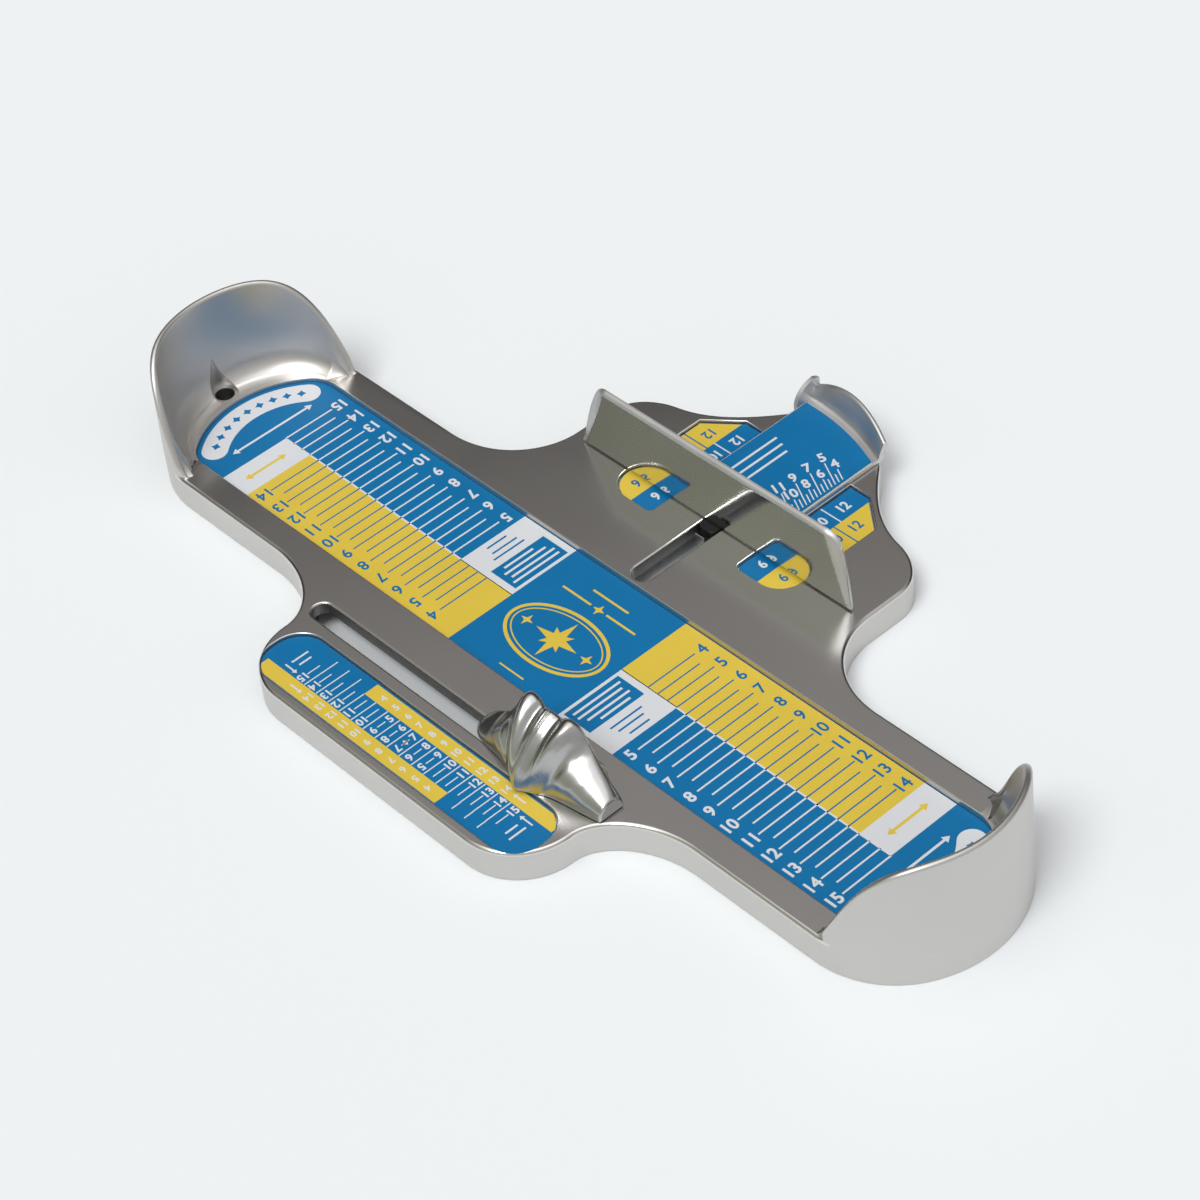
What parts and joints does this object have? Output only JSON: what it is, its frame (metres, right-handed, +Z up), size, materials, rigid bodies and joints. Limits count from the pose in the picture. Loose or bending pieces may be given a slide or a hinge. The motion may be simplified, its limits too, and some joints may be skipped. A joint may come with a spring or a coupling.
{
  "type": "foot measuring device",
  "caption": "Cast aluminium foot measuring device: heel cups at both ends, printed length, arch and width scales, a sliding width bar and a sliding arch length pointer.",
  "frame": {"origin": "middle of the bounding box's underside, on the surface that the device stands on", "axes": "+X along the device towards the near heel cup, +Y across it towards the width bar, +Z up"},
  "size_m": [0.3582, 0.2122, 0.047],
  "materials": {
    "cast_aluminium": "satin polished casting, brighter on the outer walls",
    "polished_aluminium": "mirror polished",
    "printed_sheet": "satin print in blue, yellow and white on aluminium sheet",
    "adhesive": "matte adhesive film",
    "black_nylon": "moulded nylon",
    "spring_steel": "bright rolled strip",
    "zinc_steel": "zinc plated"
  },
  "bodies": {
    "base": {"base_casting": "cast_aluminium", "foot_length_adhesive": "adhesive", "foot_length_plate": "printed_sheet", "arch_length_adhesive": "adhesive", "arch_length_plate": "printed_sheet", "near_width_adhesive": "adhesive", "near_width_plate": "printed_sheet", "far_width_adhesive": "adhesive", "far_width_plate": "printed_sheet"},
    "width_bar": {"width_bar_casting": "polished_aluminium", "slide_scale_adhesive": "adhesive", "slide_scale_sheet": "printed_sheet", "width_guide_block": "black_nylon", "width_friction_spring": "spring_steel", "width_retaining_plate": "zinc_steel", "width_washer_a": "zinc_steel", "width_washer_b": "zinc_steel", "width_screw_a": "zinc_steel", "width_screw_b": "zinc_steel"},
    "arch_pointer": {"arch_pointer_casting": "polished_aluminium", "arch_guide_block": "black_nylon", "arch_friction_spring": "spring_steel", "arch_retaining_plate": "zinc_steel", "arch_washer_a": "zinc_steel", "arch_washer_b": "zinc_steel", "arch_screw_a": "zinc_steel", "arch_screw_b": "zinc_steel"}
  },
  "joints": [
    {"name": "width_bar_slide", "type": "slide", "parent": "base", "child": "width_bar", "axis": [0, 1, 0], "range_m": [-0.027, 0.024]},
    {"name": "arch_pointer_slide", "type": "slide", "parent": "base", "child": "arch_pointer", "axis": [1, 0, 0], "range_m": [-0.0869, 0.0061]}
  ]
}
